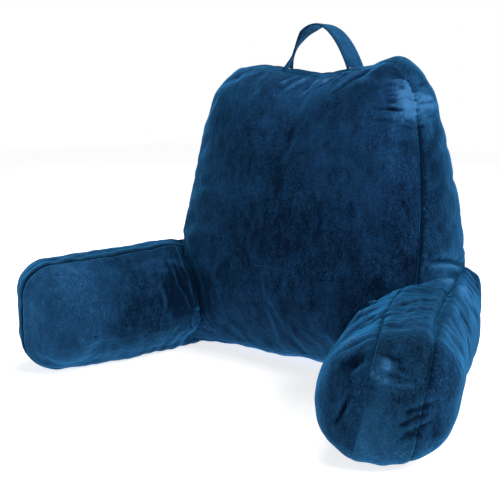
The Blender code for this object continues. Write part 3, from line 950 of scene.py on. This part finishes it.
PLUSHES = {  # dark and light ends of the nap; the same plush in lit and shaded copies, darker on the back's panels as painted shade, lighter on the boxing strips and arms as painted light
    "back": ((0.0008, 0.0040, 0.015), (0.0090, 0.0480, 0.130)),
    "back_boxing": ((0.0010, 0.0080, 0.026), (0.0120, 0.0700, 0.170)),
    "arm_left": ((0.0010, 0.0070, 0.022), (0.0100, 0.0560, 0.140)),
    "arm_right": ((0.0010, 0.0070, 0.022), (0.0100, 0.0560, 0.140)),
    "arm_boxing": ((0.0010, 0.0070, 0.020), (0.0100, 0.0560, 0.130)),
    "handle": ((0.0008, 0.0050, 0.016), (0.0100, 0.0560, 0.140)),
}
PAINTED_LIGHT_SPOTS = {  # painted highlights, lighter, and painted shade, darker, on each piece: middle, reach, strength
    "back": (
        ((0.020, 0.050, 0.450), 0.090, 0.80),
        ((0.150, 0.020, 0.340), 0.130, 0.30),
        # painted highlight on the crumpled top right corner
        ((0.185, 0.058, 0.415), 0.045, 1.50),
        # painted shade in the crease where the left arm meets the back
        ((-0.148, -0.035, 0.110), 0.055, -1.00),
        ((0.020, -0.060, 0.220), 0.150, -0.15),
    ),
    "back_boxing": (
        # painted light from the floor along the base
        ((0.000, 0.030, 0.000), 0.230, 1.40),
        ((0.195, 0.072, 0.415), 0.040, 0.90),
        ((0.215, 0.120, 0.290), 0.170, -0.45),
        ((0.229, 0.080, 0.178), 0.050, 0.80),
    ),
    "arm_left": (
        ((-0.280, -0.215, 0.110), 0.150, 0.90),
        ((-0.270, -0.200, 0.010), 0.050, 0.80),
        ((-0.225, -0.135, 0.008), 0.050, 0.80),
        ((-0.185, -0.110, 0.070), 0.120, -0.35),
        # painted shade in the crease where the arm meets the back
        ((-0.158, -0.055, 0.115), 0.055, -1.40),
    ),
    "arm_right": (
        ((0.350, -0.060, 0.110), 0.120, 0.20),
        ((0.262, -0.240, 0.122), 0.040, -0.25),
        ((0.235, -0.195, 0.145), 0.045, 1.00),
        ((0.205, -0.100, 0.145), 0.050, 0.20),
        ((0.275, 0.040, 0.158), 0.055, 1.00),
    ),
    "arm_boxing": (
        ((-0.290, -0.200, 0.000), 0.090, 1.20),
        ((0.303, -0.243, 0.128), 0.022, 0.60),
        ((0.300, -0.225, 0.152), 0.050, -0.30),
        ((0.290, -0.255, 0.040), 0.080, 0.60),
        ((0.265, 0.030, 0.168), 0.040, 0.80),
    ),
    "handle": (
        # painted shadow on the strap's left leg, painted light on its right leg
        ((-0.050, 0.093, 0.480), 0.070, -2.20),
        ((0.064, 0.093, 0.480), 0.060, 0.50),
    ),
}
materials = {
    name: plush(f"plush {name}".replace("_", " "), dark, light, seed + 1, PAINTED_LIGHT_SPOTS[name])
    for seed, (name, (dark, light)) in enumerate(PLUSHES.items())
}


# The back and the arms

def dressing_of(surface, columns, counts, middle, seed):
    """A surface as a grid with its two seams; counts are the steps of a panel, strip and panel."""
    first_panel, second_panel = (panel_steps(counts[place], middle) for place in (0, 2))
    strip = strip_steps(counts[1])
    grid = surface(columns, first_panel, strip[1:-1], second_panel)
    first = len(first_panel) - 1
    return Dressing(grid, (first, first + len(strip) - 1), seed)


def loose_places(dressing, word):
    """Where a pad has the most spare cloth: places and their reach."""
    if word == "back":
        return [(np.array(place), reach) for place, reach in BACK_LOOSE]
    flat = dressing.grid.reshape(-1, 3)
    return [(flat[flat[:, 1].argmax()], ARM_LOOSE_REACH)]


def dress(dressing, kind, word):
    """Fills a pad, then adds its lumps, puckers, folds and the grooves of its seams."""
    before, after = ROUNDING[kind]
    dressing.round_seams(*before)
    dressing.grid = dressing.grid + blown_up(dressing, loose_places(dressing, word), *FILLING[kind])
    dressing.round_seams(*after)
    dressing.fill_seams(SEAM_FILL[word], SEAM_FILL_REACH)
    dressing.lumps(*LUMPS[kind])
    dressing.puckers(*PUCKERS[kind])
    dressing.swells(SWELLS[word])
    dressing.folds(FOLDS[word])
    dressing.crumples(CRUMPLES[word])
    dressing.grooves(*SEAM_GROOVES[word], FADED_SEAMS[word])


back = dressing_of(back_surface, BACK_COLUMNS, BACK_STEPS, BACK_MIDDLE, 11)
dress(back, "back", "back")
arms = {
    "left": dressing_of(partial(arm_surface, -1), ARM_COLUMNS, ARM_STEPS, ARM_MIDDLE, 21),
    "right": dressing_of(partial(arm_surface, 1), ARM_COLUMNS, ARM_STEPS, ARM_MIDDLE, 31),
}
for word, arm in arms.items():
    dress(arm, "arm", word)


# Fitting the arms to the back

def closeness(dressing, other, reach):
    """From 1 where a surface touches or enters another one, down to 0 away from it."""
    points = other.grid.reshape(-1, 3)
    faces = outward_faces(points, ring_faces(len(other.grid), other.grid.shape[1], False))
    finder = BVHTree.FromPolygons(points.tolist(), faces)
    flat = dressing.grid.reshape(-1, 3)
    values = np.zeros(len(flat))
    low, high = points.min(axis=0) - 3 * reach, points.max(axis=0) + 3 * reach
    for index in np.flatnonzero(((flat > low) & (flat < high)).all(axis=1)):
        point = Vector(flat[index])
        spot, normal, _, _ = finder.find_nearest(point)
        gap = max((point - spot).dot(normal), 0.0)
        values[index] = math.exp(-(gap / reach) ** 2)
    values *= np.clip(flat[:, 2] / PINCH_FLOOR, 0.0, 1.0)
    return values.reshape(dressing.grid.shape[:2])


arm_pinches = {word: closeness(arm, back, ARM_PINCH_REACH) for word, arm in arms.items()}
for arm in arms.values():
    back.push(-BACK_PINCH * closeness(back, arm, BACK_PINCH_REACH))
for word, arm in arms.items():
    arm.push(-ARM_PINCH * arm_pinches[word])


def grown_back(growth):
    return closed_object("back_space", back.grid + unit_normals(back.grid) * growth, materials["back"])


def trimmed(item, cutter):
    cut = item.modifiers.new("trim", "BOOLEAN")
    cut.operation = "DIFFERENCE"
    cut.solver = "MANIFOLD"
    cut.object = cutter
    graph = bpy.context.evaluated_depsgraph_get()
    mesh = bpy.data.meshes.new_from_object(item.evaluated_get(graph))
    item.modifiers.clear()
    item.data = mesh
    return item


pieces = {
    "back_cushion": cushion_object("back_pad", back, materials["back"]),
    "back_boxing": strip_object("back_boxing_strip", back, materials["back_boxing"]),
}
cutter = grown_back(ARM_CLEARANCE)
for word, arm in arms.items():
    pad = cushion_object(f"arm_{word}_pad", arm, materials[f"arm_{word}"])
    strip = strip_object(f"arm_{word}_boxing_strip", arm, materials["arm_boxing"])
    pieces[f"arm_{word}_cushion"] = trimmed(pad, cutter)
    pieces[f"arm_{word}_boxing"] = trimmed(strip, cutter)


# The handle

def strap():
    steps = STRAP_STEPS
    across = np.linspace(-1.0, 1.0, STRAP_POINTS)
    rings = []
    angles = np.pi * (1.0 - np.linspace(0.0, 1.0, steps + 1))
    course = np.column_stack([
        HANDLE_X + HANDLE_HALF_SPAN * np.cos(angles),
        np.full(steps + 1, BACK_FRONT_Y + HANDLE_Y),
        HANDLE_FOOT_Z + (HANDLE_TOP_Z - HANDLE_FOOT_Z) * np.sin(angles) ** HANDLE_ARCH,
    ])
    tangents = np.gradient(course, axis=0)
    for index, (centre, tangent) in enumerate(zip(course, tangents)):
        share = index / steps
        tangent = tangent / np.linalg.norm(tangent)
        upward = np.cross(tangent, (0.0, -1.0, 0.0))
        twist = math.radians(np.interp(share, HANDLE_TWISTS[:, 0], HANDLE_TWISTS[:, 1]))
        wide = math.cos(twist) * np.array([0.0, 1.0, 0.0]) + math.sin(twist) * upward
        thick = np.cross(tangent, wide)
        stitch = STITCH_DEPTH * np.exp(-((np.abs(across) - STITCH_PLACE) / STITCH_WIDTH) ** 2)
        round_off = np.sqrt(np.clip(1.0 - np.abs(across) ** STRAP_EDGE_POWER, 0.0, 1.0))
        half = HANDLE_THICKNESS / 2 * round_off - stitch
        upper = centre + wide * across[:, None] * HANDLE_WIDTH / 2 + thick * half[:, None]
        lower = centre + wide * across[:, None] * HANDLE_WIDTH / 2 - thick * half[:, None]
        rings.append(np.concatenate([upper, lower[-2:0:-1]]))
    rings = np.array(rings)
    count = rings.shape[1]
    points = rings.reshape(-1, 3)
    ends = [tuple(range(count))[::-1], tuple(range((len(rings) - 1) * count, len(rings) * count))]
    faces = outward_faces(points, ring_faces(len(rings), count, False), ends)
    return mesh_object("strap_handle", points, faces, materials["handle"])


pieces["handle"] = trimmed(strap(), cutter)
bpy.data.objects.remove(cutter)


for node, piece in pieces.items():
    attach(piece, "root")
    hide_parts(node)


# Floor, light and camera

def stage_floor():
    mesh = bpy.data.meshes.new("floor")
    reach = 6.0
    mesh.from_pydata([(-reach, -reach, 0), (reach, -reach, 0), (reach, reach, 0), (-reach, reach, 0)], [],
                     [(0, 1, 2, 3)])
    material = bpy.data.materials.new("floor")
    material.use_nodes = True
    shader = material.node_tree.nodes["Principled BSDF"]
    set_inputs(shader, {
        "Base Color": (0.75, 0.75, 0.75, 1.0),
        "Roughness": 0.8,
        "Emission Color": (1.0, 1.0, 1.0, 1.0),
        "Emission Strength": 0.75,
    })
    mesh.materials.append(material)
    item = bpy.data.objects.new("floor", mesh)
    bpy.context.scene.collection.objects.link(item)


def soft_light(name, place, target, size, power):
    light = bpy.data.lights.new(name, "AREA")
    light.shape = "RECTANGLE"
    light.size = light.size_y = size
    light.energy = power
    item = bpy.data.objects.new(name, light)
    item.location = place
    item.rotation_mode = "QUATERNION"
    item.rotation_quaternion = (Vector(target) - Vector(place)).to_track_quat("-Z", "Y")
    bpy.context.scene.collection.objects.link(item)


def camera():
    azimuth, elevation, roll = 0.6584, 0.1783, -0.0038
    target = Vector((-0.0448, -0.0197, 0.1885))
    back_way = Vector((
        math.sin(azimuth) * math.cos(elevation),
        -math.cos(azimuth) * math.cos(elevation),
        math.sin(elevation),
    ))
    data = bpy.data.cameras.new("camera")
    data.sensor_width = 36.0
    data.lens = 56.248
    item = bpy.data.objects.new("camera", data)
    item.rotation_mode = "QUATERNION"
    item.location = target + back_way * 1.2043
    item.rotation_quaternion = (-back_way).to_track_quat("-Z", "Y")
    item.rotation_quaternion.rotate(Matrix.Rotation(roll, 3, back_way))
    bpy.context.scene.collection.objects.link(item)
    bpy.context.scene.camera = item


stage_floor()
world = bpy.data.worlds.new("studio")
world.use_nodes = True
sky = world.node_tree.nodes
way = sky.new("ShaderNodeTexCoord")
height = sky.new("ShaderNodeSeparateXYZ")
fade = sky.new("ShaderNodeValToRGB")
fade.color_ramp.elements[0].position = 0.20
fade.color_ramp.elements[0].color = (1.0, 1.0, 1.0, 1.0)
fade.color_ramp.elements[1].position = 0.45
fade.color_ramp.elements[1].color = (0.16, 0.16, 0.16, 1.0)
world.node_tree.links.new(way.outputs["Generated"], height.inputs["Vector"])
world.node_tree.links.new(height.outputs["Z"], fade.inputs["Fac"])
world.node_tree.links.new(fade.outputs["Color"], sky["Background"].inputs["Color"])
sky["Background"].inputs["Strength"].default_value = 1.0
bpy.context.scene.world = world
bpy.context.scene.view_settings.view_transform = "Standard"
soft_light("key", place=(2.0, -0.35, 1.7), target=(0.0, 0.0, 0.2), size=0.8, power=42.0)
soft_light("top", place=(-0.5, 0.9, 2.4), target=(0.0, 0.0, 0.3), size=1.2, power=40.0)
camera()
